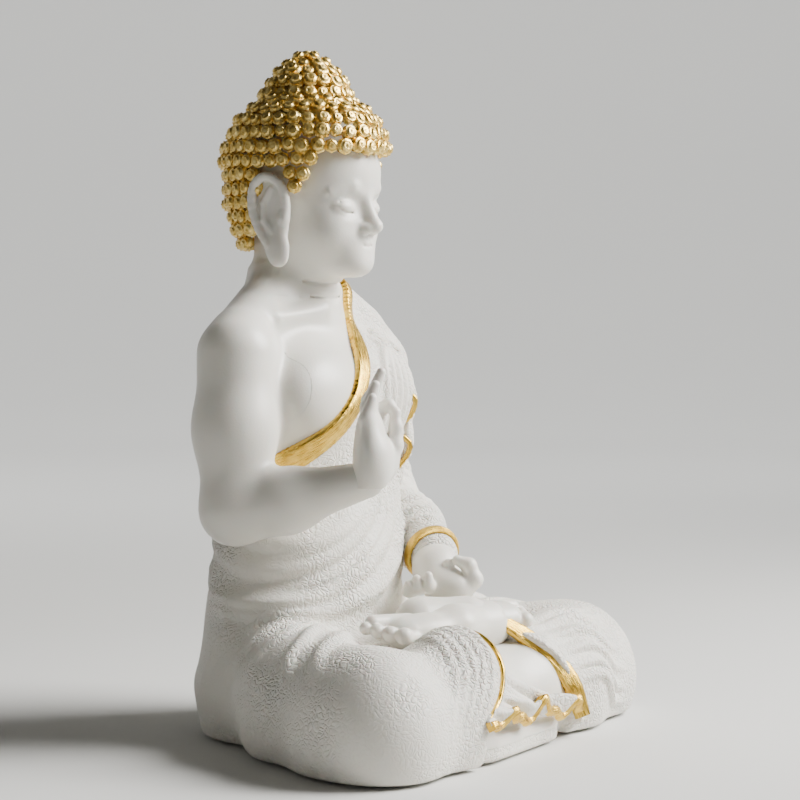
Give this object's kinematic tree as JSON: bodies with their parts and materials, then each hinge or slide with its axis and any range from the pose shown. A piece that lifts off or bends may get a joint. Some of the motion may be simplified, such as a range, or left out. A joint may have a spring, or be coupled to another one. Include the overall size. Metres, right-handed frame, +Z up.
{
  "type": "seated buddha statue",
  "caption": "Seated buddha statue in white resin with a gilded curled hair cap, gilded robe hems, a raised right hand and a left hand resting in the lap.",
  "frame": {"origin": "centre of the bounding box at the underside of the felt pads", "axes": "+Z up, the figure faces -Y and its left hand side is +X"},
  "size_m": [0.3026, 0.229, 0.4],
  "materials": {
    "skin_resin": "satin",
    "robe_resin": "satin",
    "gilding": "gloss",
    "board": "matte",
    "felt": "matte",
    "dowel_wood": "matte",
    "pin_steel": "satin"
  },
  "bodies": {
    "root": {"seat_casting": "robe_resin", "torso_casting": "robe_resin", "right_arm": "skin_resin", "right_hand": "skin_resin", "left_sleeve": "robe_resin", "left_hand": "skin_resin", "head": "skin_resin", "right_ear": "skin_resin", "left_ear": "skin_resin", "hair_cap": "gilding", "crown_knot": "gilding", "chest_hem": "gilding", "shoulder_cascade": "robe_resin", "cascade_hem": "gilding", "sleeve_cuff": "gilding", "left_foot": "skin_resin", "right_foot": "skin_resin", "right_knee_hem": "gilding", "left_knee_hem": "gilding", "front_fan": "robe_resin", "fan_hem": "gilding", "base_plate": "board", "felt_pad_1": "felt", "felt_pad_2": "felt", "felt_pad_3": "felt", "felt_pad_4": "felt", "neck_dowel": "dowel_wood", "right_wrist_pin": "pin_steel", "left_wrist_pin": "pin_steel"}
  },
  "joints": []
}
